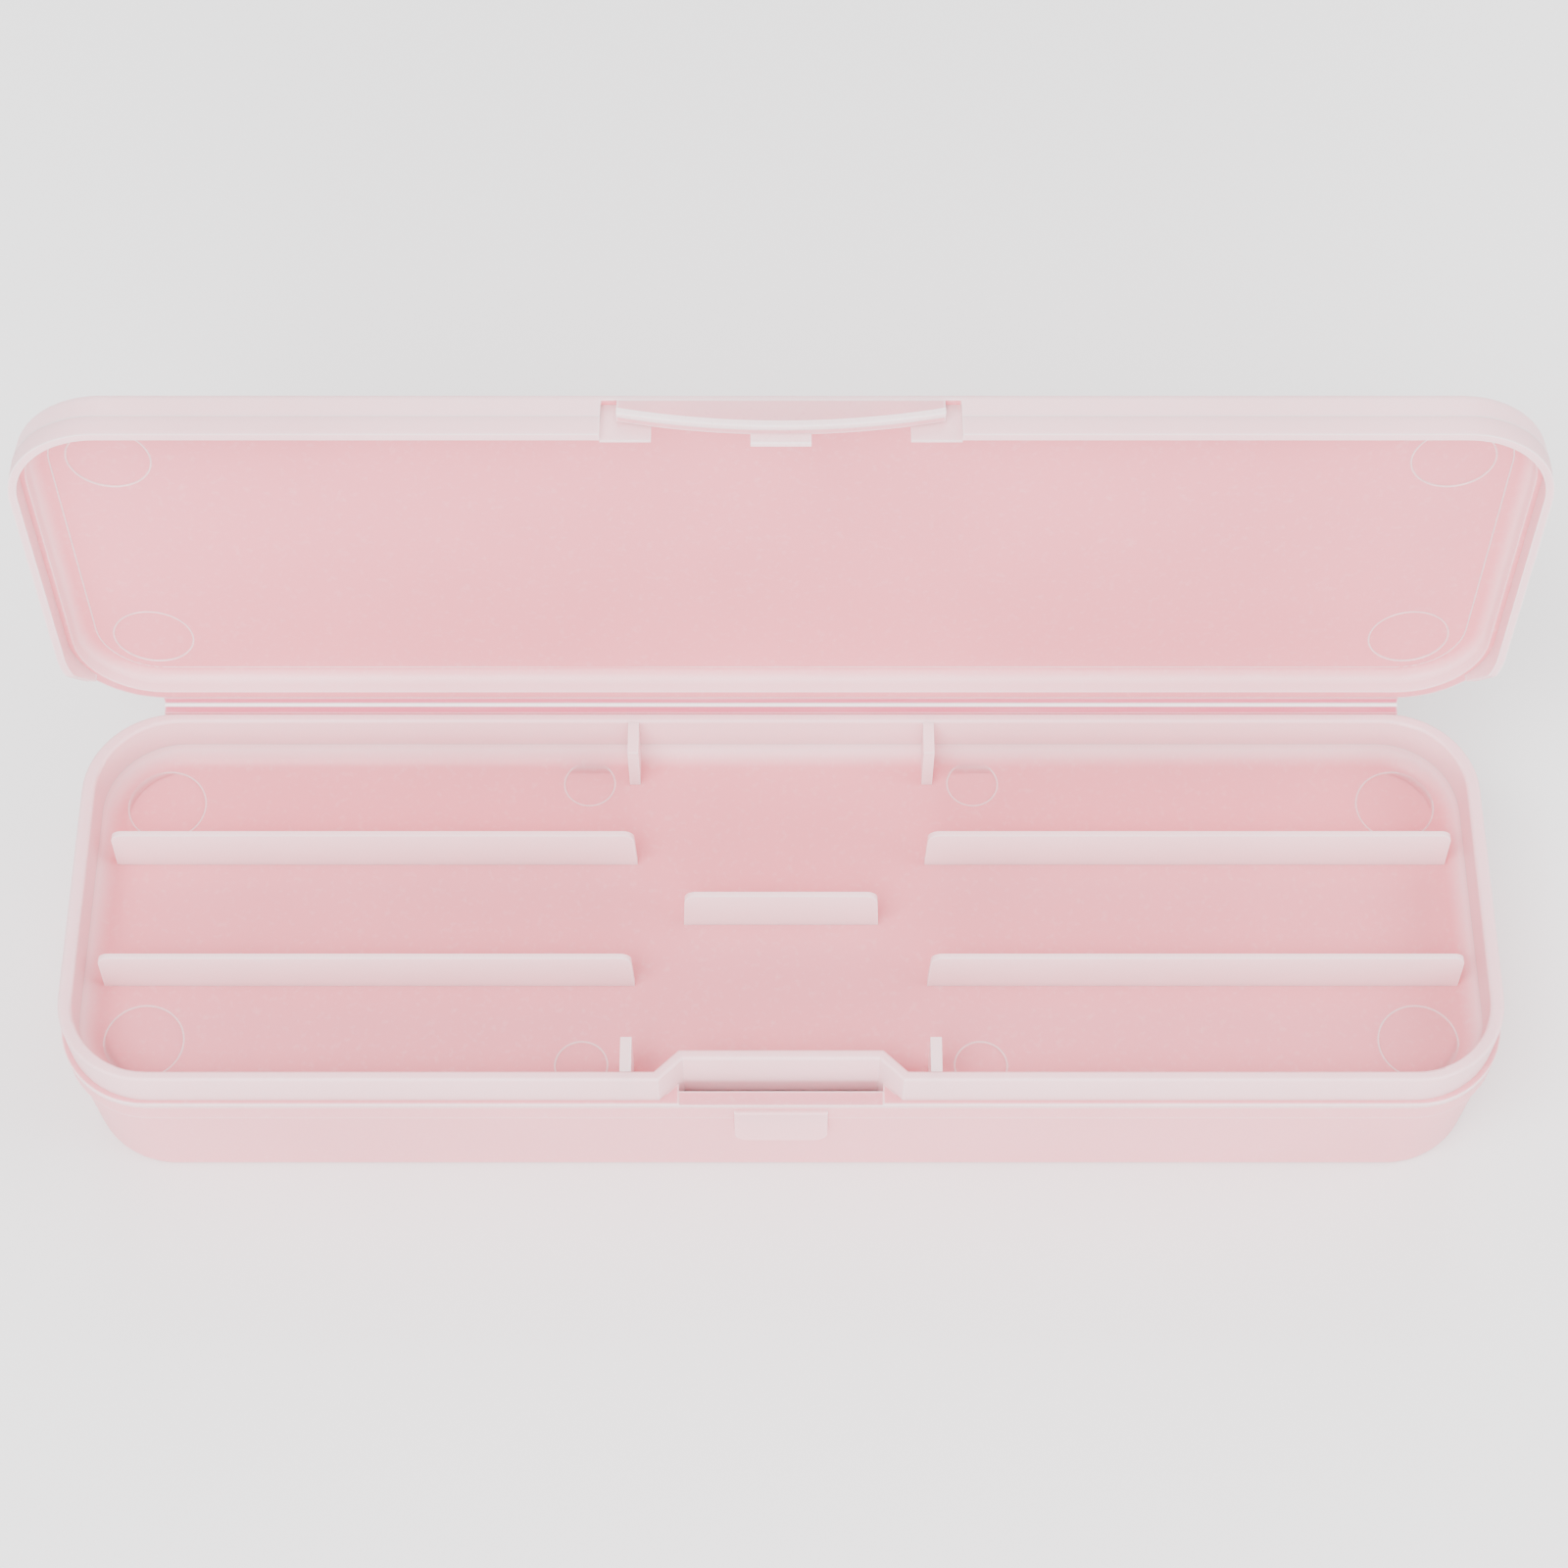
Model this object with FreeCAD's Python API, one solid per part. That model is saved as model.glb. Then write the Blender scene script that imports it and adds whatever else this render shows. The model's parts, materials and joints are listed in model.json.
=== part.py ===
import FreeCAD, Part
import math
import os

# A clear pencil case: a ribbed tray standing on a lower box, a lid on a fold line along
# the back, and a springy thumb catch in the lid's front wall. Millimetres. The origin is
# at the middle of the underside: X runs along the case, -Y is the front, +Z is up.
# The lid is drawn shut, then turned about the fold line to the open rest position.

# ---- driving dimensions ----
LID_OPEN_ANGLE = 95.5

RIM_LENGTH = 196.2          # outside of the tray at its rim
RIM_DEPTH = 57.4
RIM_HEIGHT = 29.0
SIDE_RIM_THICKNESS = 1.9
RIM_THICKNESS = 1.4
TRAY_CORNER = 12.5

TRAY_DEPTH = 9.0            # from the rim down to the ribbed floor
TRAY_FLOOR = 1.2
TRAY_FILLET = 3.0
SHOULDER_HEIGHT = 22.6
SHOULDER_STEP = 0.6         # how far the tray's flange stands out under the rim
SHOULDER_THICKNESS = 0.8
PLUG_STEP = 1.0             # how far the tray's underside stands in from the rim

SEAM_HEIGHT = 0.25
BOX_STEP = 0.3              # from the outside of the flange in to the box's wall
BAND_HEIGHT = 3.5
BOX_WALL = 1.2
BOX_DRAFT = 0.6
BOX_FLOOR = 1.4
BOX_FILLET = 2.5
BASE_FILLET = 1.2

LID_LENGTH = 200.0
LID_OVERHANG = 1.8          # how far the lid's front stands out past the rim
LID_CORNER = 13.0
LID_TOP = 33.5
LID_GAP = 0.15              # air between the tray's rim and the shut lid
LID_WALL = 1.9
LID_PLATE = 1.2
LID_DRAFT = 0.3
LID_FILLET = 2.0
LID_EDGE_FILLET = 1.4
SKIRT_THICKNESS = 1.1
SKIRT_DEPTH = 3.0
SKIRT_TAPER_START = 19.5
SKIRT_END = 23.4
SKIRT_END_DEPTH = 1.0

HINGE_REACH = 1.4           # from the tray's back face to the fold line
HINGE_LENGTH = 175.0
FLANGE_THICKNESS = 0.4
FLANGE_END_GAP = 0.2
CREASE_RADIUS = 0.3
CREASE_CLEARANCE = 0.05

JOG_DEPTH = 3.2             # the rim steps in here to make room for the catch
JOG_INNER = 13.2
JOG_OUTER = 16.5
POCKET_WIDTH = 1.8
POCKET_HALF_LENGTH = 13.9
POCKET_LEAD_IN = 0.6
PAD_HALF_LENGTH = 6.4
PAD_TOP = 20.5
PAD_BOTTOM = 11.5
PAD_PROUD = 0.8
PAD_CORNER = 2.0

WINDOW_HALF_LENGTH = 23.0
WINDOW_TOP = 32.0
LEDGE_INNER = 16.5
LEDGE_THICKNESS = 0.35
TAB_HALF_LENGTH = 20.9
TAB_THICKNESS = 0.9
TAB_SIDE_DEPTH = 3.0
TAB_MIDDLE_DEPTH = 5.2
LIP_THICKNESS = 0.9
LIP_PROUD = 0.7
WEB_HALF_LENGTH = 12.2
WEB_THICKNESS = 0.7
WEB_DROP = 0.75             # from the window's top down to the web
WEB_BOTTOM = 28.6
TONGUE_HALF_LENGTH = 3.85
TONGUE_ROOT = 1.2
TONGUE_TIP = 25.4
TONGUE_HOOK = 0.3
TONGUE_BEVEL = 0.9
FLEX_GAP = 0.15

RIB_Y = 9.6
RIB_HEIGHT = 8.1
RIB_THICKNESS = 1.05
RIB_DRAFT = 0.3
RIB_CORNER = 1.6
RIB_INNER_END = 20.3
RIB_OUTER_END = 93.9
CENTRE_RIB_HALF_LENGTH = 13.6
STOP_RIB_X = 20.9
STOP_RIB_REACH = 5.1
STOP_RIB_THICKNESS = 1.5
STOP_RIB_DROP = 0.2         # from the rim down to the stop rib's top

LARGE_MARK_RADIUS = 5.5
LARGE_MARK_X = 87.7
LARGE_MARK_Y = 18.7
SMALL_MARK_RADIUS = 3.6
SMALL_MARK_X = 27.4
SMALL_MARK_Y = 22.3
MARK_DEPTH = 0.15

# ---- places worked out from them ----
RIM_X = RIM_LENGTH / 2
RIM_Y = RIM_DEPTH / 2
CAVITY_X = RIM_X - SIDE_RIM_THICKNESS
CAVITY_Y = RIM_Y - RIM_THICKNESS
CAVITY_CORNER = TRAY_CORNER - RIM_THICKNESS
FLOOR_TOP = RIM_HEIGHT - TRAY_DEPTH
FLOOR_BOTTOM = FLOOR_TOP - TRAY_FLOOR
FLANGE_X = RIM_X + SHOULDER_STEP
FLANGE_Y = RIM_Y + SHOULDER_STEP
FLANGE_BOTTOM = SHOULDER_HEIGHT - SHOULDER_THICKNESS
PLUG_X = RIM_X - PLUG_STEP
PLUG_Y = RIM_Y - PLUG_STEP
BOX_X = FLANGE_X - BOX_STEP
BOX_Y = FLANGE_Y - BOX_STEP
BAND_TOP = FLANGE_BOTTOM - SEAM_HEIGHT
LID_X = LID_LENGTH / 2
LID_FRONT = -RIM_Y - LID_OVERHANG
LID_BACK = RIM_Y
LID_BASE = RIM_HEIGHT + LID_GAP
SKIRT_BOTTOM = RIM_HEIGHT - SKIRT_DEPTH
HINGE_Y = RIM_Y + HINGE_REACH
HINGE_Z = RIM_HEIGHT
TAB_FRONT = LID_FRONT
TAB_BACK = LID_FRONT + TAB_THICKNESS
WEB_BACK = TAB_BACK + WEB_THICKNESS
JOG_Y = -RIM_Y + JOG_DEPTH
MARGIN = 1.0                # how far a cutting solid runs past what it cuts

def vec(x, y, z):
    return FreeCAD.Vector(x, y, z)


def block(x0, x1, y0, y1, z0, z1):
    return Part.makeBox(x1 - x0, y1 - y0, z1 - z0, vec(x0, y0, z0))


def outline(half_x, y0, y1, radius, z):
    """Rounded rectangle at height z, from y0 at the front to y1 at the back."""
    corners = [
        (half_x - radius, y0 + radius, -90),
        (half_x - radius, y1 - radius, 0),
        (radius - half_x, y1 - radius, 90),
        (radius - half_x, y0 + radius, 180),
    ]
    arcs = []
    for cx, cy, start in corners:
        circle = Part.Circle(vec(cx, cy, z), vec(0, 0, 1), radius)
        arcs.append(Part.Arc(circle, math.radians(start), math.radians(start + 90)).toShape())
    edges = []
    for arc, following in zip(arcs, arcs[1:] + arcs[:1]):
        edges.append(arc)
        edges.append(Part.makeLine(arc.Vertexes[-1].Point, following.Vertexes[0].Point))
    return Part.Wire(edges)


def tub(lower, upper):
    """Solid between two rounded rectangles, each given as outline() arguments."""
    return Part.makeLoft([outline(*lower), outline(*upper)], True, True)


def prism(points, axis, start, length):
    """Solid with a polygon section, drawn in the plane across axis and pushed along it."""
    if axis == "x":
        corners = [vec(start, y, z) for y, z in points]
        push = vec(length, 0, 0)
    elif axis == "y":
        corners = [vec(x, start, z) for x, z in points]
        push = vec(0, length, 0)
    else:
        corners = [vec(x, y, start) for x, y in points]
        push = vec(0, 0, length)
    return Part.Face(Part.makePolygon(corners + corners[:1])).extrude(push)


def edges_at(shape, z):
    """Edges that lie flat at height z."""
    level = []
    for edge in shape.Edges:
        box = edge.BoundBox
        if abs(box.ZMin - z) < 1e-4 and abs(box.ZMax - z) < 1e-4:
            level.append(edge)
    return level


# ---- tray ----
def tray_cavity():
    """Room inside the tray, with a fillet round its floor, behind the stepped-in wall."""
    room = tub((CAVITY_X, -CAVITY_Y, CAVITY_Y, CAVITY_CORNER, FLOOR_TOP),
               (CAVITY_X, -CAVITY_Y, CAVITY_Y, CAVITY_CORNER, RIM_HEIGHT + MARGIN))
    room = room.makeFillet(TRAY_FILLET, edges_at(room, FLOOR_TOP))
    return room.cut(prism(jog_outline(RIM_THICKNESS), "z", FLOOR_BOTTOM, RIM_HEIGHT))


def round_marks(half_x, half_y, radius, floor_z):
    """Four shallow round marks, one in each quarter, let into a flat inside face."""
    places = [(sx * half_x, sy * half_y) for sx in (-1, 1) for sy in (-1, 1)]
    return Part.makeCompound([Part.makeCylinder(radius, MARK_DEPTH, vec(x, y, floor_z)) for x, y in places])


def tray_shell():
    """Floor and flange, with the part below the flange narrow enough to sit in the box."""
    plug = tub((PLUG_X, -PLUG_Y, PLUG_Y, TRAY_CORNER, FLOOR_BOTTOM),
               (PLUG_X, -PLUG_Y, PLUG_Y, TRAY_CORNER, FLANGE_BOTTOM))
    flange = tub((FLANGE_X, -FLANGE_Y, FLANGE_Y, TRAY_CORNER, FLANGE_BOTTOM),
                 (FLANGE_X, -FLANGE_Y, FLANGE_Y, TRAY_CORNER, SHOULDER_HEIGHT))
    shell = plug.fuse(flange).cut(tray_cavity()).cut(pocket_slot()).cut(jog_wall())
    shell = shell.cut(round_marks(LARGE_MARK_X, LARGE_MARK_Y, LARGE_MARK_RADIUS, FLOOR_TOP - MARK_DEPTH))
    shell = shell.cut(round_marks(SMALL_MARK_X, SMALL_MARK_Y, SMALL_MARK_RADIUS, FLOOR_TOP - MARK_DEPTH))
    return shell.removeSplitter()


def tray_rim():
    """Thin upright band above the flange, stepping in round the catch."""
    ring = tub((RIM_X, -RIM_Y, RIM_Y, TRAY_CORNER, SHOULDER_HEIGHT),
               (RIM_X, -RIM_Y, RIM_Y, TRAY_CORNER, RIM_HEIGHT))
    ring = ring.cut(tray_cavity())
    ring = ring.cut(prism(jog_outline(0), "z", SHOULDER_HEIGHT, RIM_HEIGHT - SHOULDER_HEIGHT))
    ring = ring.fuse(jog_wall()).removeSplitter()
    return ring.makeFillet(RIM_THICKNESS * 0.3, edges_at(ring, RIM_HEIGHT))


def jog_outline(shift):
    """Everything in front of the stepped-in wall, whose face is moved inwards by shift."""
    lean = shift * math.tan(math.radians(22.5))
    front = -RIM_Y - MARGIN
    flare = JOG_OUTER + lean + (JOG_OUTER - JOG_INNER) * (shift + MARGIN) / JOG_DEPTH
    return [
        (-flare, front),
        (-JOG_INNER - lean, JOG_Y + shift),
        (JOG_INNER + lean, JOG_Y + shift),
        (flare, front),
    ]


def jog_wall():
    """Upright wall that follows the step, as thick as the rim, down to the floor's underside."""
    height = RIM_HEIGHT - FLOOR_BOTTOM
    wall = prism(jog_outline(RIM_THICKNESS), "z", FLOOR_BOTTOM, height)
    wall = wall.cut(prism(jog_outline(0), "z", FLOOR_BOTTOM, height))
    upper = wall.common(block(-RIM_X, RIM_X, -RIM_Y, RIM_Y, SHOULDER_HEIGHT, RIM_HEIGHT))
    lower = wall.common(block(-RIM_X, RIM_X, -PLUG_Y, RIM_Y, FLOOR_BOTTOM, SHOULDER_HEIGHT))
    return upper.fuse(lower)


def pocket_slot():
    """Slot through the shoulder in front of the stepped-in wall, with a sloped lead-in."""
    front = JOG_Y - POCKET_WIDTH
    slot = block(-POCKET_HALF_LENGTH, POCKET_HALF_LENGTH, front, JOG_Y, FLOOR_BOTTOM - MARGIN, RIM_HEIGHT)
    lead = [
        (front, SHOULDER_HEIGHT - POCKET_LEAD_IN / 3),
        (front, RIM_HEIGHT),
        (-FLANGE_Y - MARGIN, RIM_HEIGHT),
        (-FLANGE_Y - MARGIN, SHOULDER_HEIGHT - POCKET_LEAD_IN),
    ]
    return slot.fuse(prism(lead, "x", -POCKET_HALF_LENGTH, 2 * POCKET_HALF_LENGTH))


def long_rib(x0, x1, y):
    """Upright divider standing on the floor, thinner at its top, with rounded top corners."""
    z0 = FLOOR_TOP
    z1 = FLOOR_TOP + RIB_HEIGHT
    wires = []
    for slim, z in ((0, z0), (RIB_DRAFT, z1)):
        half = (RIB_THICKNESS - slim) / 2
        corners = [vec(x0 + slim, y - half, z), vec(x1 - slim, y - half, z),
                   vec(x1 - slim, y + half, z), vec(x0 + slim, y + half, z)]
        wires.append(Part.makePolygon(corners + corners[:1]))
    rib = Part.makeLoft(wires, True, True)
    tips = [edge for edge in edges_at(rib, z1) if edge.BoundBox.XLength < 1e-3]
    return rib.makeFillet(RIB_CORNER, tips).common(tray_cavity())


def stop_rib(x, side):
    """Short upright rib on the front or back wall that keeps pencils from sliding."""
    half = STOP_RIB_THICKNESS / 2
    y0, y1 = sorted((side * (CAVITY_Y - STOP_RIB_REACH), side * CAVITY_Y))
    return block(x - half, x + half, y0, y1, FLOOR_TOP, RIM_HEIGHT - STOP_RIB_DROP).common(tray_cavity())


def hinge_crease():
    """The thick bead of the fold, which the lid turns about."""
    return Part.makeCylinder(CREASE_RADIUS, HINGE_LENGTH, vec(-HINGE_LENGTH / 2, HINGE_Y, HINGE_Z), vec(1, 0, 0))


def tray_flange():
    """Thin strip that joins the rim's back face to the fold."""
    top = HINGE_Z - CREASE_CLEARANCE
    half = HINGE_LENGTH / 2
    strip = block(-half, half, RIM_Y, HINGE_Y - FLANGE_END_GAP, top - FLANGE_THICKNESS, top)
    return strip.cut(hinge_crease())


# ---- lower box ----
def lower_box():
    """Deep box under the tray, closed by it, with a stiffening band round its top."""
    foot_x = BOX_X - BOX_DRAFT
    foot_y = BOX_Y - BOX_DRAFT
    wall = tub((foot_x, -foot_y, foot_y, TRAY_CORNER, 0),
               (BOX_X, -BOX_Y, BOX_Y, TRAY_CORNER, FLANGE_BOTTOM))
    wall = wall.makeFillet(BASE_FILLET, edges_at(wall, 0))
    band_foot = BAND_TOP - BAND_HEIGHT
    band = tub((FLANGE_X, -FLANGE_Y, FLANGE_Y, TRAY_CORNER, band_foot),
               (FLANGE_X, -FLANGE_Y, FLANGE_Y, TRAY_CORNER, BAND_TOP))
    radius = TRAY_CORNER - BOX_WALL
    room = tub((foot_x - BOX_WALL, BOX_WALL - foot_y, foot_y - BOX_WALL, radius, BOX_FLOOR),
               (BOX_X - BOX_WALL, BOX_WALL - BOX_Y, BOX_Y - BOX_WALL, radius, FLANGE_BOTTOM))
    room = room.makeFillet(BOX_FILLET, edges_at(room, BOX_FLOOR))
    return wall.fuse(band).cut(room).removeSplitter()


def press_pad():
    """Raised pad on the box's front, with rounded lower corners, where a thumb pushes."""
    front = -BOX_Y - PAD_PROUD
    pad = block(-PAD_HALF_LENGTH, PAD_HALF_LENGTH, front, -BOX_Y + MARGIN, PAD_BOTTOM, PAD_TOP)
    lower = [edge for edge in edges_at(pad, PAD_BOTTOM) if edge.BoundBox.YLength > 1e-3]
    pad = pad.makeFillet(PAD_CORNER, lower)
    face = [edge for edge in pad.Edges if abs(edge.BoundBox.YMax - front) < 1e-4]
    return pad.makeFillet(PAD_PROUD / 3, face).cut(lower_box())


# ---- lid, drawn shut ----
def lid_shell():
    """Shallow lid, open below, with the catch's window in its front wall."""
    top_half = LID_X - LID_DRAFT
    outer = tub((LID_X, LID_FRONT, LID_BACK, LID_CORNER, LID_BASE),
                (top_half, LID_FRONT + LID_DRAFT, LID_BACK - LID_DRAFT, LID_CORNER, LID_TOP))
    outer = outer.makeFillet(LID_EDGE_FILLET, edges_at(outer, LID_TOP))
    ceiling = LID_TOP - LID_PLATE
    half = LID_X - LID_WALL
    front = LID_FRONT + LID_WALL
    back = LID_BACK - RIM_THICKNESS
    radius = LID_CORNER - LID_WALL
    room = tub((half, front, back, radius, LID_BASE),
               (half - LID_DRAFT, front + LID_DRAFT, back - LID_DRAFT, radius, ceiling))
    room = room.makeFillet(LID_FILLET, edges_at(room, ceiling))
    marks = round_marks(LARGE_MARK_X, LARGE_MARK_Y, LARGE_MARK_RADIUS, ceiling)
    return outer.cut(room).cut(latch_window()).cut(marks).removeSplitter()


def latch_window():
    """Opening in the lid's front wall that the thumb tab hangs in."""
    return block(-WINDOW_HALF_LENGTH, WINDOW_HALF_LENGTH, LID_FRONT - MARGIN,
                 LID_FRONT + LID_WALL + LID_DRAFT, SKIRT_BOTTOM - MARGIN, WINDOW_TOP)


def lid_skirt(side):
    """Thin edge down over the tray's rim at one side and its half of the front."""
    inner_radius = LID_CORNER - SKIRT_THICKNESS
    outer = tub((LID_X, LID_FRONT, LID_BACK, LID_CORNER, SKIRT_BOTTOM),
                (LID_X, LID_FRONT, LID_BACK, LID_CORNER, LID_BASE))
    inset = SKIRT_THICKNESS
    inner = tub((LID_X - inset, LID_FRONT + inset, LID_BACK - inset, inner_radius, SKIRT_BOTTOM),
                (LID_X - inset, LID_FRONT + inset, LID_BACK - inset, inner_radius, LID_BASE))
    taper = [
        (SKIRT_TAPER_START, SKIRT_BOTTOM - MARGIN),
        (SKIRT_TAPER_START, SKIRT_BOTTOM),
        (SKIRT_END, RIM_HEIGHT - SKIRT_END_DEPTH),
        (SKIRT_END, LID_BASE + MARGIN),
        (LID_BACK + MARGIN, LID_BASE + MARGIN),
        (LID_BACK + MARGIN, SKIRT_BOTTOM - MARGIN),
    ]
    skirt = outer.cut(inner).cut(prism(taper, "x", -LID_X, LID_LENGTH)).cut(latch_window())
    x0, x1 = sorted((0, side * LID_X))
    return skirt.common(block(x0, x1, LID_FRONT, LID_BACK, SKIRT_BOTTOM, LID_BASE))


def window_ledge(side):
    """Thin inner strip of the skirt left across each end of the window."""
    back = -RIM_Y - 2 * FLEX_GAP
    x0, x1 = sorted((side * LEDGE_INNER, side * WINDOW_HALF_LENGTH))
    return block(x0, x1, back - LEDGE_THICKNESS, back, SKIRT_BOTTOM, WINDOW_TOP)


def lid_flange():
    """Thin strip that joins the lid's back edge to the fold, with air round the bead."""
    base = HINGE_Z + CREASE_CLEARANCE
    half = HINGE_LENGTH / 2
    strip = block(-half, half, LID_BACK, HINGE_Y - FLANGE_END_GAP, base, base + FLANGE_THICKNESS)
    room = Part.makeCylinder(CREASE_RADIUS + CREASE_CLEARANCE, HINGE_LENGTH,
                             vec(-half, HINGE_Y, HINGE_Z), vec(1, 0, 0))
    return strip.cut(room)


# ---- springy catch, drawn shut ----
def tab_bottom_arc(y0, y1):
    """Room under the tab's curved lower edge, deepest in the middle."""
    top = WINDOW_TOP
    rise = TAB_MIDDLE_DEPTH - TAB_SIDE_DEPTH
    radius = (TAB_HALF_LENGTH ** 2 + rise ** 2) / (2 * rise)
    centre_z = top - TAB_MIDDLE_DEPTH + radius
    return Part.makeCylinder(radius, y1 - y0, vec(0, y0, centre_z), vec(0, 1, 0))


def thumb_tab():
    """Plate that fills the window and flexes about its top edge."""
    top = WINDOW_TOP - FLEX_GAP
    plate = block(-TAB_HALF_LENGTH, TAB_HALF_LENGTH, TAB_FRONT, TAB_BACK,
                  WINDOW_TOP - TAB_MIDDLE_DEPTH, top)
    return plate.common(tab_bottom_arc(TAB_FRONT, TAB_BACK))


def tab_lip():
    """Grip along the tab's lower edge, standing out from the lid's front face."""
    front = TAB_FRONT - LIP_PROUD
    bar = block(-TAB_HALF_LENGTH, TAB_HALF_LENGTH, front, TAB_FRONT,
                WINDOW_TOP - TAB_MIDDLE_DEPTH, WINDOW_TOP - TAB_SIDE_DEPTH + LIP_THICKNESS)
    lower = tab_bottom_arc(front, TAB_FRONT)
    upper = lower.copy()
    upper.translate(vec(0, 0, LIP_THICKNESS))
    return bar.common(lower).cut(upper)


def latch_web():
    """Stiffener behind the tab that carries the tongue."""
    root = WEB_BOTTOM + TONGUE_ROOT
    plate = block(-WEB_HALF_LENGTH, WEB_HALF_LENGTH, TAB_BACK, WEB_BACK, WEB_BOTTOM, WINDOW_TOP - WEB_DROP)
    return plate.cut(block(-TONGUE_HALF_LENGTH, TONGUE_HALF_LENGTH, TAB_BACK, WEB_BACK, WEB_BOTTOM, root))


def latch_tongue():
    """Middle finger of the catch, with a bevelled tip that finds its way into the pocket."""
    top = WEB_BOTTOM + TONGUE_ROOT
    profile = [
        (TAB_BACK, top),
        (WEB_BACK, top),
        (WEB_BACK + TONGUE_HOOK, TONGUE_TIP + TONGUE_BEVEL),
        (WEB_BACK, TONGUE_TIP),
        (TAB_BACK, TONGUE_TIP),
    ]
    return prism(profile, "x", -TONGUE_HALF_LENGTH, 2 * TONGUE_HALF_LENGTH)


# ---- writing ----
def opened(shape):
    """Turn a shut lid piece about the fold line to the rest position."""
    turned = shape.copy()
    turned.rotate(vec(0, HINGE_Y, HINGE_Z), vec(-1, 0, 0), LID_OPEN_ANGLE)
    return turned


def save(name, shape):
    if not shape.isValid() or shape.Volume <= 0:
        raise ValueError(name + " is not a sound solid")
    shape.exportStep("parts/" + name + ".step")
    print(name, "solids", len(shape.Solids), "volume", round(shape.Volume, 2))


def tray_pieces():
    pieces = {
        "tray_shell": tray_shell(),
        "tray_rim": tray_rim(),
        "lower_box": lower_box(),
        "press_pad": press_pad(),
        "centre_rib": long_rib(-CENTRE_RIB_HALF_LENGTH, CENTRE_RIB_HALF_LENGTH, 0),
        "hinge_flange_tray": tray_flange(),
        "hinge_crease": hinge_crease(),
    }
    for row, side in (("front", -1), ("back", 1)):
        pieces["divider_rib_left_" + row] = long_rib(-RIB_OUTER_END, -RIB_INNER_END, side * RIB_Y)
        pieces["divider_rib_right_" + row] = long_rib(RIB_INNER_END, RIB_OUTER_END, side * RIB_Y)
        pieces["stop_rib_left_" + row] = stop_rib(-STOP_RIB_X, side)
        pieces["stop_rib_right_" + row] = stop_rib(STOP_RIB_X, side)
    return pieces


def lid_pieces():
    return {
        "lid_shell": lid_shell(),
        "lid_skirt_left": lid_skirt(-1),
        "lid_skirt_right": lid_skirt(1),
        "window_ledge_left": window_ledge(-1),
        "window_ledge_right": window_ledge(1),
        "hinge_flange_lid": lid_flange(),
        "thumb_tab": thumb_tab(),
        "tab_lip": tab_lip(),
        "latch_web": latch_web(),
        "latch_tongue": latch_tongue(),
    }


os.makedirs("parts", exist_ok=True)
for name, shape in tray_pieces().items():
    save(name, shape)
for name, shape in lid_pieces().items():
    save(name, opened(shape))
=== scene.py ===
import json
import math

import bpy
from mathutils import Matrix, Vector


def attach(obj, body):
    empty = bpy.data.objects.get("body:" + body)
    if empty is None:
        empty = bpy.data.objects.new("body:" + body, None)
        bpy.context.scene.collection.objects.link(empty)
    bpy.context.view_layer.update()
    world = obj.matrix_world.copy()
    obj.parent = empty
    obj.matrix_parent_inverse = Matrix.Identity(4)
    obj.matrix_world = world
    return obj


# The look of a frosted pink pencil case, standing open. Metres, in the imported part's frame:
# X along the case, -Y the catch's side, +Z up, the origin under the middle.
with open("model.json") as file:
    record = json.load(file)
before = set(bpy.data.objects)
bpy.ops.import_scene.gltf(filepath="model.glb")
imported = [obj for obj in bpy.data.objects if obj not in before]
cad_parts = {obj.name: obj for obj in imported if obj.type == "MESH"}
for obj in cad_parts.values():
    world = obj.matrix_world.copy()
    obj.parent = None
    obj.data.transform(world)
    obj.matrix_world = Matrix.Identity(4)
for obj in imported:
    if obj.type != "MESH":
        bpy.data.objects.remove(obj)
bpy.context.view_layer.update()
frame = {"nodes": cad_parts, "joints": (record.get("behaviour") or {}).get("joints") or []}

# ---- shape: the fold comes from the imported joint; heights and marks repeat the CAD part's ----
lid_hinge = next(joint for joint in frame["joints"] if joint["name"] == "lid_hinge")
FOLD = Vector(lid_hinge["pos_m"])
OPEN_ANGLE = math.radians(-lid_hinge["range_deg"][0])    # from shut to where the lid rests
OPENING = Matrix.Rotation(OPEN_ANGLE, 3, Vector(lid_hinge["axis"]))
FLOOR_TOP = 0.0200
CEILING = 0.0323              # inside of the lid's plate, with the lid shut
LARGE_MARK_X = 0.0877
LARGE_MARK_Y = 0.0187
LARGE_MARK_RADIUS = 0.0055
SMALL_MARK_X = 0.0274
SMALL_MARK_Y = 0.0223
SMALL_MARK_RADIUS = 0.0036
PLATE_LINE_HALF_X = 0.0955
PLATE_LINE_HALF_Y = 0.0262
PLATE_LINE_MIDDLE_Y = -0.0006
PLATE_LINE_CORNER = 0.0085
LINE_WIDTH = 0.00020
LINE_HEIGHT = 0.00007

# ---- colours, linear, a touch deeper than they look once lit ----
FLOOR_PINK = (0.840, 0.290, 0.335)
WALL_PINK = (0.900, 0.350, 0.395)
PAD_PINK = (0.930, 0.440, 0.480)
CATCH_PINK = (0.920, 0.400, 0.450)
LID_PINK = (0.820, 0.275, 0.325)
RIB_PINK = (0.990, 0.680, 0.710)
RIM_PINK = (0.985, 0.600, 0.640)
HINGE_PINK = (0.720, 0.150, 0.230)
# near-white crease: the fold's stress whitening, with a painted highlight along it
CREASE_PINK = (1.000, 0.900, 0.900)
# near-white, for the painted highlight along edges and for the grain's speckle
HIGHLIGHT_AND_SPECKLE_WHITE = (1.000, 0.880, 0.885)
PALE_FLOOR = (0.80, 0.80, 0.80)

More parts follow.
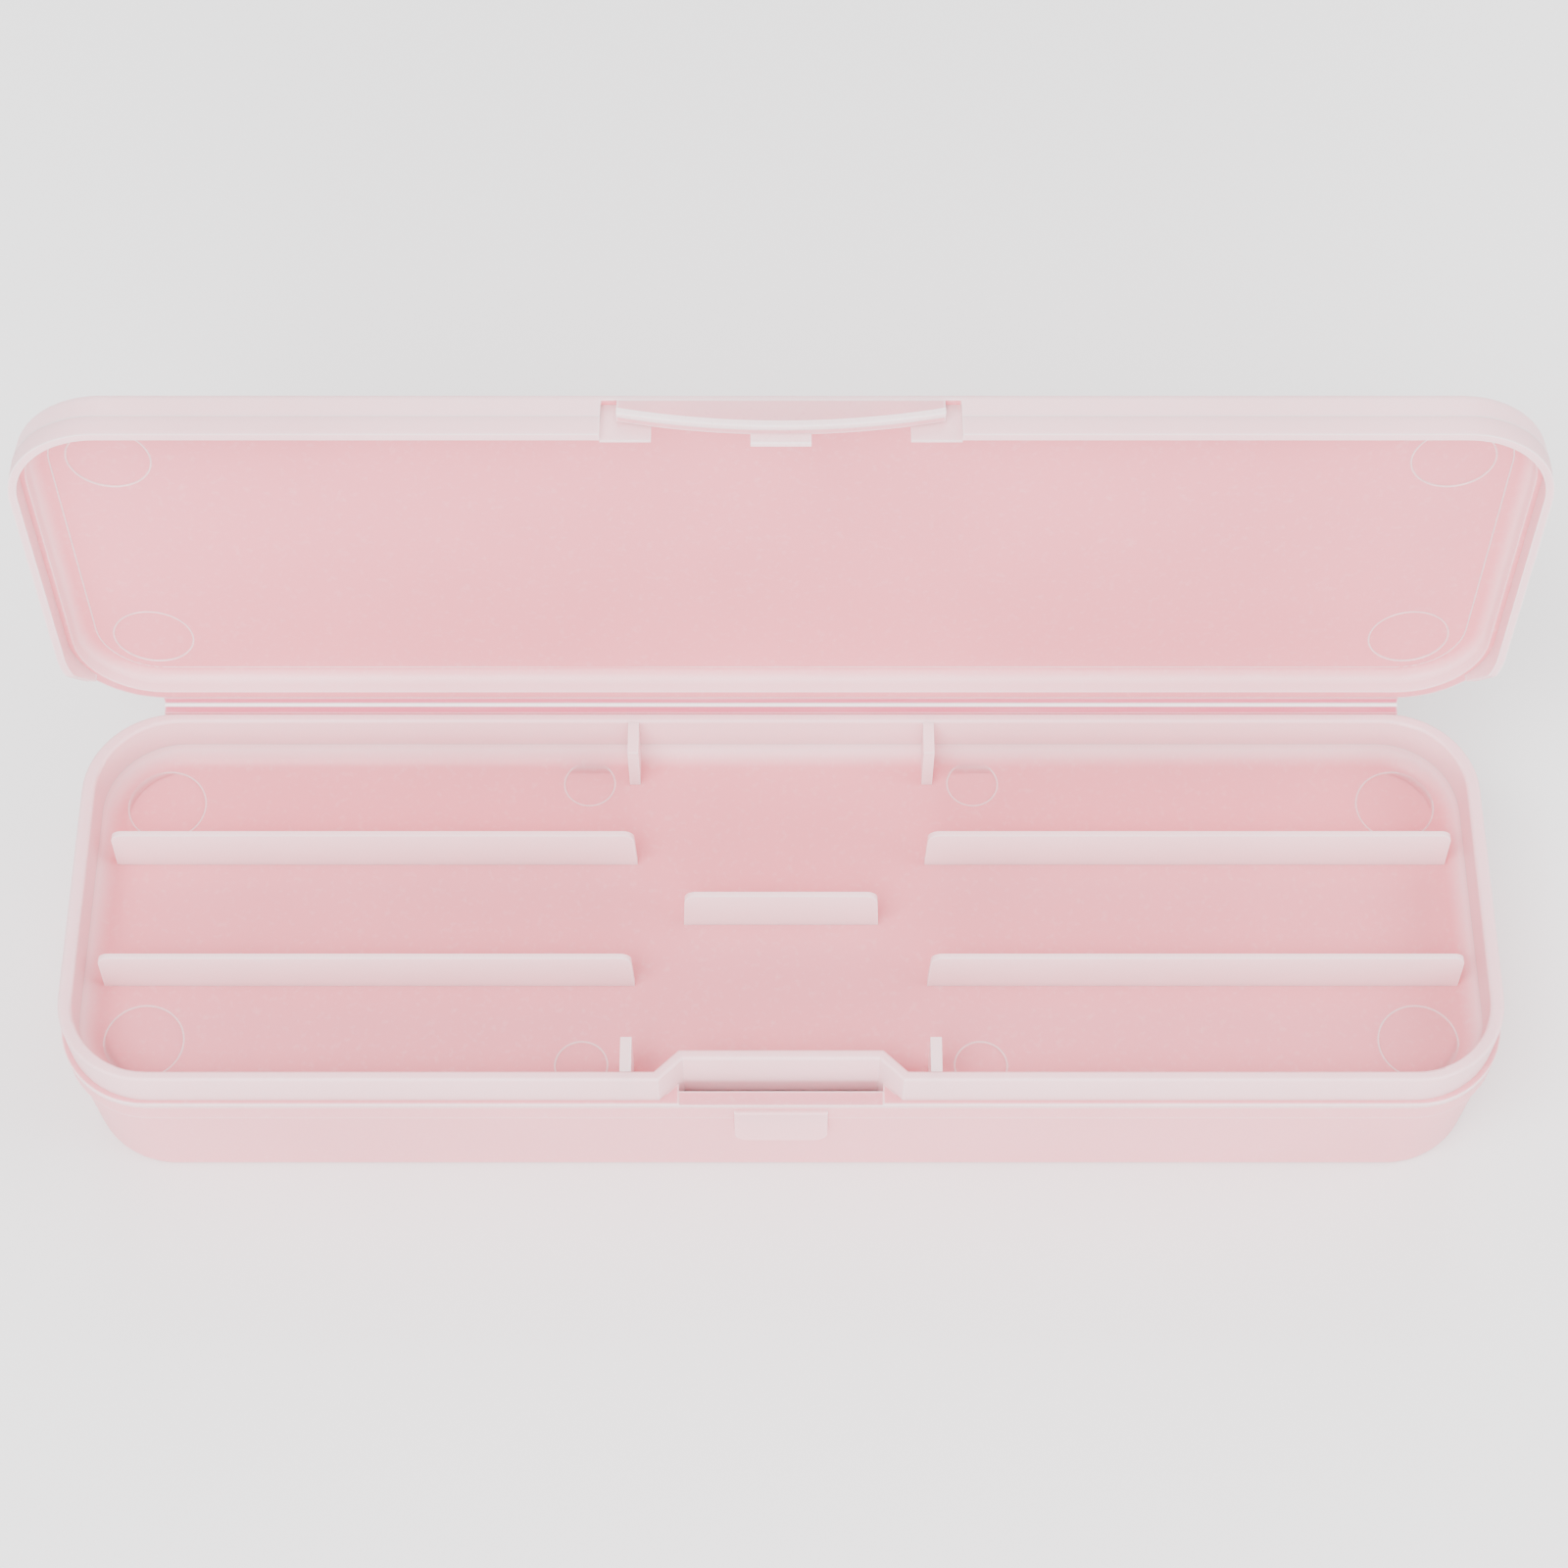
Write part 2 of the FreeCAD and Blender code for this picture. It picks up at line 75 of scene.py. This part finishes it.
# ---- finish ----
UPRIGHT = (0, 0, 1)
LID_PLATE_NORMAL = (0, math.sin(OPEN_ANGLE), math.cos(OPEN_ANGLE))
GRAIN_SIZE = 0.0009
GRAIN_DETAIL = 3.0
SPECKLE_SPAN = (0.55, 0.75)   # the part of the grain's values that shows as speckle
SPECKLE_SHARE = 0.10          # how far the brightest speckle goes towards white
ROUGHNESS_SPAN = (0.3, 0.7)
SMOOTHER = 0.06
ROUGHER = 0.08
# the mottling noise: the frosted plastic's own uneven tone, and also painted shade drifting across the
# plates
CLOUD_SIZE = 0.045
CLOUD_DETAIL = 2.0
CLOUD_SPAN = (0.35, 0.65)
MOTTLE_AND_SHADE_DARKER = 0.955
MOTTLE_AND_SHADE_PALER = 1.035
BUMP_STRENGTH = 0.12
BUMP_HEIGHT = 0.00008
EDGE_WIDTH = 0.00045
EDGE_SAMPLES = 6
EDGE_SPAN = (0.995, 0.80)     # cosine of the lean, where the painted edge highlight starts and where it is full
HIGHLIGHT_CLOUD_SPAN = (0.30, 0.70)
FAINTEST_HIGHLIGHT_SHARE = 0.75             # the weakest painted edge highlight, where the mottling is lowest, as a share of all of it
FACING_SPAN = (0.45, 0.97)    # cosine to the plate's direction, where its painted-light plate colour starts and is full
HINGE_STREAKS = (18, 1, 1)    # grain drawn out along the fold
MIX_COLOURS = (6, 7)          # a Mix node's two colour inputs and its colour output, by place
MIX_RESULT = 2
PLASTIC_IOR = 1.49
SOAK_SHARE = 0.35
SOAK_DEPTH = 0.003
SOAK_BY_COLOUR = (1.0, 0.75, 0.75)
PAPER_TOOTH = 0.002
PAPER_ROUGHNESS = 0.9
PAPER_DARKER = 0.985

# ---- studio and camera ----
GROUND_HALF = 3.0
MIDDLE_OF_CASE = (0, 0, 0.03)
SKY_STRENGTH = 1.25
SOFTBOX_SHAPE = 0.7           # a softbox's height over its width
LENS_MM = 75.5
SENSOR_MM = 36.0
SHIFT_X = 0.0019
SHIFT_Y = 0.0783
EYE_DISTANCE = 0.45674
EYE_ELEVATION = math.radians(62.05)
EYE_TARGET = (0, -0.00031, 0.025)
CLIP_NEAR = 0.01
CLIP_FAR = 20.0


# ---- node helpers ----
def new_material(name):
    material = bpy.data.materials.new(name)
    material.use_nodes = True
    tree = material.node_tree
    tree.nodes.clear()
    return material, tree


def noise(tree, place, size, detail, stretch=(1, 1, 1)):
    """Noise whose features are about size metres across, stretched along each axis."""
    mapping = tree.nodes.new("ShaderNodeMapping")
    mapping.inputs["Scale"].default_value = [1 / (size * s) for s in stretch]
    tree.links.new(place, mapping.inputs["Vector"])
    texture = tree.nodes.new("ShaderNodeTexNoise")
    texture.inputs["Scale"].default_value = 1.0
    texture.inputs["Detail"].default_value = detail
    tree.links.new(mapping.outputs["Vector"], texture.inputs["Vector"])
    return texture.outputs["Fac"]


def remap(tree, value, span, to_low, to_high):
    node = tree.nodes.new("ShaderNodeMapRange")
    node.inputs["From Min"].default_value = span[0]
    node.inputs["From Max"].default_value = span[1]
    node.inputs["To Min"].default_value = to_low
    node.inputs["To Max"].default_value = to_high
    tree.links.new(value, node.inputs["Value"])
    return node.outputs["Result"]


def mixed(tree, share, first, second):
    """Colour mix; first and second are colours or sockets."""
    node = tree.nodes.new("ShaderNodeMix")
    node.data_type = "RGBA"
    tree.links.new(share, node.inputs["Factor"])
    for place, colour in zip(MIX_COLOURS, (first, second)):
        if isinstance(colour, tuple):
            node.inputs[place].default_value = (*colour, 1)
        else:
            tree.links.new(colour, node.inputs[place])
    return node.outputs[MIX_RESULT]


def show(tree, surface):
    """Puts surface out as the material."""
    output = tree.nodes.new("ShaderNodeOutputMaterial")
    tree.links.new(surface.outputs["BSDF"], output.inputs["Surface"])


def edge_mask(tree, width):
    """1 on an edge and 0 on a flat face, from how far a rounded normal leans off the face's own."""
    rounded = tree.nodes.new("ShaderNodeBevel")
    rounded.samples = EDGE_SAMPLES
    rounded.inputs["Radius"].default_value = width
    face_normal = tree.nodes.new("ShaderNodeNewGeometry")
    lean = tree.nodes.new("ShaderNodeVectorMath")
    lean.operation = "DOT_PRODUCT"
    tree.links.new(rounded.outputs["Normal"], lean.inputs[0])
    tree.links.new(face_normal.outputs["Normal"], lean.inputs[1])
    return remap(tree, lean.outputs["Value"], EDGE_SPAN, 0.0, 1.0)


def mottled_and_shaded(tree, mottle_and_shade, tint):
    """tint, drifting a little darker and paler with the noise: the plastic's own mottling, and painted
    shade drifting across the faces.
    """
    darker = tuple(c * MOTTLE_AND_SHADE_DARKER for c in tint)
    paler = tuple(min(1.0, c * MOTTLE_AND_SHADE_PALER) for c in tint)
    return mixed(tree, remap(tree, mottle_and_shade, CLOUD_SPAN, 0.0, 1.0), darker, paler)


def facing(tree, direction):
    """1 on faces that look along direction or away from it, 0 on those that stand across it."""
    normal = tree.nodes.new("ShaderNodeTexCoord").outputs["Normal"]
    along = tree.nodes.new("ShaderNodeVectorMath")
    along.operation = "DOT_PRODUCT"
    along.inputs[1].default_value = direction
    tree.links.new(normal, along.inputs[0])
    size = tree.nodes.new("ShaderNodeMath")
    size.operation = "ABSOLUTE"
    tree.links.new(along.outputs["Value"], size.inputs[0])
    return remap(tree, size.outputs["Value"], FACING_SPAN, 0.0, 1.0)


def plastic(name, tint, solidity=0.9, roughness=0.40, edge=0.8, stretch=(1, 1, 1), plate=None):
    """Frosted polypropylene: fine grain, soft mottling with painted shade in it, painted highlights on
    the edges, light soaking in.

    plate is (colour, direction): broad faces that look along direction take that colour and the walls
    standing round them keep the paler tint; this is painted light by how each face is turned, standing
    for light crossing less plastic in the plates than in the walls.
    """
    material, tree = new_material(name)
    place = tree.nodes.new("ShaderNodeTexCoord").outputs["Object"]
    grain = noise(tree, place, GRAIN_SIZE, GRAIN_DETAIL, stretch)
    mottle_and_shade = noise(tree, place, CLOUD_SIZE, CLOUD_DETAIL, stretch)

    body = mottled_and_shaded(tree, mottle_and_shade, tint)
    # painted light: faces turned along the plate's direction take the deeper plate tint, faces
    # standing across it keep the paler tint
    if plate:
        plate_tint, direction = plate
        body = mixed(tree, facing(tree, direction), body, mottled_and_shaded(tree, mottle_and_shade, plate_tint))
    speckled = mixed(tree, remap(tree, grain, SPECKLE_SPAN, 0.0, SPECKLE_SHARE), body, HIGHLIGHT_AND_SPECKLE_WHITE)
    # painted highlight: edges paled towards white, a little less where the mottling is low
    edge_highlight_share = remap(tree, mottle_and_shade, HIGHLIGHT_CLOUD_SPAN, FAINTEST_HIGHLIGHT_SHARE * edge, edge)
    share = tree.nodes.new("ShaderNodeMath")
    share.operation = "MULTIPLY"
    tree.links.new(edge_mask(tree, EDGE_WIDTH), share.inputs[0])
    tree.links.new(edge_highlight_share, share.inputs[1])
    colour = mixed(tree, share.outputs["Value"], speckled, HIGHLIGHT_AND_SPECKLE_WHITE)

    bump = tree.nodes.new("ShaderNodeBump")
    bump.inputs["Strength"].default_value = BUMP_STRENGTH
    bump.inputs["Distance"].default_value = BUMP_HEIGHT
    tree.links.new(grain, bump.inputs["Height"])

    surface = tree.nodes.new("ShaderNodeBsdfPrincipled")
    surface.inputs["IOR"].default_value = PLASTIC_IOR
    surface.inputs["Subsurface Weight"].default_value = SOAK_SHARE
    surface.inputs["Subsurface Radius"].default_value = SOAK_BY_COLOUR
    surface.inputs["Subsurface Scale"].default_value = SOAK_DEPTH
    surface.inputs["Alpha"].default_value = solidity
    tree.links.new(colour, surface.inputs["Base Color"])
    uneven = remap(tree, grain, ROUGHNESS_SPAN, roughness - SMOOTHER, roughness + ROUGHER)
    tree.links.new(uneven, surface.inputs["Roughness"])
    tree.links.new(bump.outputs["Normal"], surface.inputs["Normal"])
    show(tree, surface)
    return material


def paper(name, tint):
    """Matt pale ground with a faint tooth."""
    material, tree = new_material(name)
    place = tree.nodes.new("ShaderNodeTexCoord").outputs["Object"]
    tooth = noise(tree, place, PAPER_TOOTH, GRAIN_DETAIL)
    surface = tree.nodes.new("ShaderNodeBsdfPrincipled")
    surface.inputs["Roughness"].default_value = PAPER_ROUGHNESS
    darker = tuple(c * PAPER_DARKER for c in tint)
    tree.links.new(mixed(tree, tooth, darker, tint), surface.inputs["Base Color"])
    show(tree, surface)
    return material


# ---- materials on the CAD nodes ----
def dress(names, material):
    for name in names:
        mesh = frame["nodes"][name].data
        mesh.materials.clear()
        mesh.materials.append(material)


def dress_all():
    """Gives every node its own shade of the one plastic."""
    ribs = [name for name in frame["nodes"] if "rib" in name]
    dress(ribs, plastic("rib_plastic", RIB_PINK, solidity=0.90, edge=1.0))
    floor = plastic("floor_plastic", RIM_PINK, solidity=0.94, plate=(FLOOR_PINK, UPRIGHT))
    dress(["tray_shell"], floor)
    lid = plastic("lid_plastic", RIM_PINK, solidity=0.94, plate=(LID_PINK, LID_PLATE_NORMAL))
    dress(["lid_shell"], lid)
    dress(["lower_box"], plastic("box_plastic", WALL_PINK, solidity=0.93))
    dress(["press_pad"], plastic("pad_plastic", PAD_PINK, solidity=0.95))
    rims = ["tray_rim", "lid_skirt_left", "lid_skirt_right", "window_ledge_left", "window_ledge_right"]
    dress(rims, plastic("rim_plastic", RIM_PINK, solidity=0.80, edge=1.0))
    catch = plastic("catch_plastic", CATCH_PINK, solidity=0.85, roughness=0.32, edge=1.0)
    dress(["thumb_tab", "latch_web"], catch)
    grip = plastic("grip_plastic", RIB_PINK, solidity=0.95, roughness=0.30, edge=1.0)
    dress(["tab_lip", "latch_tongue"], grip)
    strip = plastic("hinge_plastic", HINGE_PINK, solidity=0.92, roughness=0.30, edge=0.5,
                    stretch=HINGE_STREAKS)
    dress(["hinge_flange_tray", "hinge_flange_lid"], strip)
    # the crease: near-white for its stress whitening and for a painted highlight along the fold
    crease = plastic("crease_plastic", CREASE_PINK, solidity=0.98, roughness=0.25, edge=1.0,
                     stretch=HINGE_STREAKS)
    dress(["hinge_crease"], crease)


dress_all()


# ---- fine moulded lines on the flat faces ----
def bead(name, path, up, body, material):
    """Low rounded line along a closed path of points, standing out of a face that looks along up."""
    vertices = []
    faces = []
    profile = [(-LINE_WIDTH / 2, 0), (-LINE_WIDTH / 4, LINE_HEIGHT), (LINE_WIDTH / 4, LINE_HEIGHT),
               (LINE_WIDTH / 2, 0)]
    count = len(path)
    for i, point in enumerate(path):
        along = (path[(i + 1) % count] - path[i - 1]).normalized()
        across = along.cross(up)
        vertices += [point + across * w + up * h for w, h in profile]
    steps = len(profile)
    for i in range(count):
        here = i * steps
        ahead = (i + 1) % count * steps
        for j in range(steps):
            k = (j + 1) % steps
            faces.append((here + j, here + k, ahead + k, ahead + j))
    mesh = bpy.data.meshes.new(name)
    mesh.from_pydata([tuple(v) for v in vertices], [], faces)
    mesh.materials.append(material)
    line = bpy.data.objects.new(name, mesh)
    bpy.context.scene.collection.objects.link(line)
    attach(line, body)


def circle_path(x, y, z, radius, count=64):
    turns = [2 * math.pi * i / count for i in range(count)]
    return [Vector((x + radius * math.cos(t), y + radius * math.sin(t), z)) for t in turns]


def frame_path(half_x, half_y, middle_y, radius, z, count=12):
    """Rounded rectangle, with count steps round each corner."""
    points = []
    corners = ((1, 1, 0), (-1, 1, 90), (-1, -1, 180), (1, -1, 270))
    for sx, sy, start in corners:
        for i in range(count + 1):
            turn = math.radians(start + 90 * i / count)
            points.append(Vector((sx * (half_x - radius) + radius * math.cos(turn),
                                  middle_y + sy * (half_y - radius) + radius * math.sin(turn), z)))
    return points


def with_lid(points):
    """Points drawn on the shut lid, turned about the fold to where it stands open."""
    return [FOLD + OPENING @ (point - FOLD) for point in points]


def fine_lines():
    """Outlines of the round marks in each quarter, and the line round the lid's plate."""
    material = plastic("line_plastic", RIB_PINK, solidity=1.0, roughness=0.30, edge=0.5)
    upright = Vector(UPRIGHT)
    out_of_lid = OPENING @ -upright
    for sx, side in ((-1, "left"), (1, "right")):
        for sy, row in ((-1, "front"), (1, "back")):
            large_x = sx * LARGE_MARK_X
            large_y = sy * LARGE_MARK_Y
            on_floor = circle_path(large_x, large_y, FLOOR_TOP, LARGE_MARK_RADIUS)
            small = circle_path(sx * SMALL_MARK_X, sy * SMALL_MARK_Y, FLOOR_TOP, SMALL_MARK_RADIUS)
            on_lid = with_lid(circle_path(large_x, large_y, CEILING, LARGE_MARK_RADIUS))
            bead(f"tray_mark_{side}_{row}", on_floor, upright, "tray", material)
            bead(f"tray_small_mark_{side}_{row}", small, upright, "tray", material)
            bead(f"lid_mark_{side}_{row}", on_lid, out_of_lid, "lid", material)
    plate = frame_path(PLATE_LINE_HALF_X, PLATE_LINE_HALF_Y, PLATE_LINE_MIDDLE_Y,
                       PLATE_LINE_CORNER, CEILING)
    bead("lid_plate_line", with_lid(plate), out_of_lid, "lid", material)


fine_lines()


# ---- ground, light and camera ----
def ground(half, material):
    corners = [(-half, -half, 0), (half, -half, 0), (half, half, 0), (-half, half, 0)]
    mesh = bpy.data.meshes.new("ground")
    mesh.from_pydata(corners, [], [(0, 1, 2, 3)])
    mesh.materials.append(material)
    sheet = bpy.data.objects.new("ground", mesh)
    bpy.context.scene.collection.objects.link(sheet)


def softbox(name, place, target, width, power):
    lamp = bpy.data.lights.new(name, "AREA")
    lamp.shape = "RECTANGLE"
    lamp.size = width
    lamp.size_y = width * SOFTBOX_SHAPE
    lamp.energy = power
    lamp_object = bpy.data.objects.new(name, lamp)
    lamp_object.location = place
    lamp_object.rotation_euler = (Vector(target) - Vector(place)).to_track_quat("-Z", "Y").to_euler()
    bpy.context.scene.collection.objects.link(lamp_object)


def sky(strength):
    world = bpy.data.worlds.new("studio")
    world.use_nodes = True
    world.node_tree.nodes["Background"].inputs["Color"].default_value = (1, 1, 1, 1)
    world.node_tree.nodes["Background"].inputs["Strength"].default_value = strength
    bpy.context.scene.world = world


def camera(distance, elevation, target):
    """Looks down at the case from the front; the shifts put the case where the photo has it."""
    lens = bpy.data.cameras.new("camera")
    lens.lens = LENS_MM
    lens.sensor_width = SENSOR_MM
    lens.shift_x = SHIFT_X
    lens.shift_y = SHIFT_Y
    lens.clip_start = CLIP_NEAR
    lens.clip_end = CLIP_FAR
    eye = bpy.data.objects.new("camera", lens)
    back = Vector((0, -math.cos(elevation), math.sin(elevation)))
    eye.location = Vector(target) + back * distance
    eye.rotation_euler = (math.pi / 2 - elevation, 0, 0)
    bpy.context.scene.collection.objects.link(eye)
    bpy.context.scene.camera = eye


ground(GROUND_HALF, paper("ground_paper", PALE_FLOOR))
sky(SKY_STRENGTH)
softbox("key", place=(-0.35, -0.45, 0.95), target=MIDDLE_OF_CASE, width=0.7, power=18.0)
softbox("fill", place=(0.75, -0.10, 0.60), target=MIDDLE_OF_CASE, width=0.6, power=7.0)
softbox("low_front", place=(0.0, -1.10, 0.35), target=MIDDLE_OF_CASE, width=0.8, power=18.0)
softbox("back", place=(0.05, 0.85, 0.70), target=(0, 0.02, 0.05), width=0.7, power=8.0)
camera(EYE_DISTANCE, EYE_ELEVATION, EYE_TARGET)
